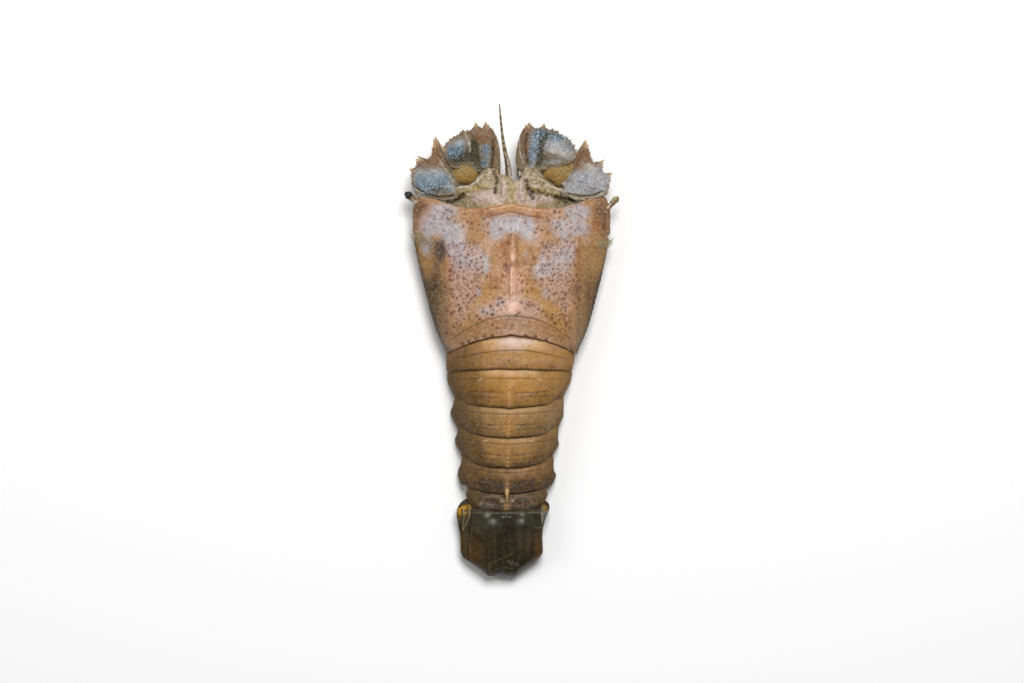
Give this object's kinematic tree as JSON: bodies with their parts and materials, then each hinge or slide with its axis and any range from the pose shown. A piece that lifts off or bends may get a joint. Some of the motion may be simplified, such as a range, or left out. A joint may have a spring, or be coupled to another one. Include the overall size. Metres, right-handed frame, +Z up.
{
  "type": "slipper lobster",
  "caption": "Whole raw slipper lobster lying on its belly: broad flat shield, flat toothed antenna plates, ringed tail with its fan curled under, legs folded below.",
  "frame": {"origin": "on the flat underside of the breast plate, on the centre line, where it rests on the table", "axes": "+Y along the body towards the head, +Z up, +X to the animal's right"},
  "size_m": [0.0869, 0.1889, 0.029],
  "materials": {
    "shell": "wet chitin shell, pinkish brown with a pale bloom, ochre bands and dark pits",
    "tail_shell": "wet chitin shell, warm brown with darker cross lines",
    "fan_leather": "wet leathery tail fan, near black with brown translucent edges",
    "plate_shell": "fine-grained grey-blue shell with brown toothed rims",
    "limb_shell": "smooth ochre shell",
    "belly_shell": "pale, thin shell of the underside and face"
  },
  "bodies": {
    "root": {"antenna_fan_left": "plate_shell", "antenna_fan_right": "plate_shell", "antenna_joint_left": "limb_shell", "antenna_joint_right": "limb_shell", "antenna_plate_left": "plate_shell", "antenna_plate_right": "plate_shell", "antennule_left": "limb_shell", "antennule_right": "limb_shell", "breast_plate": "belly_shell", "carapace": "shell", "eye_left": "limb_shell", "eye_right": "limb_shell", "face": "belly_shell", "jaw_leg_left": "limb_shell", "jaw_leg_right": "limb_shell", "leg_left_1": "limb_shell", "leg_left_2": "limb_shell", "leg_left_3": "limb_shell", "leg_left_4": "limb_shell", "leg_left_5": "limb_shell", "leg_right_1": "limb_shell", "leg_right_2": "limb_shell", "leg_right_3": "limb_shell", "leg_right_4": "limb_shell", "leg_right_5": "limb_shell", "paddle_inner_left": "fan_leather", "paddle_inner_right": "fan_leather", "paddle_outer_left": "fan_leather", "paddle_outer_right": "fan_leather", "tail_ring_1": "tail_shell", "tail_ring_2": "tail_shell", "tail_ring_3": "tail_shell", "tail_ring_4": "tail_shell", "tail_ring_5": "tail_shell", "tail_ring_6": "tail_shell", "tail_spine": "limb_shell", "telson": "fan_leather"}
  },
  "joints": []
}
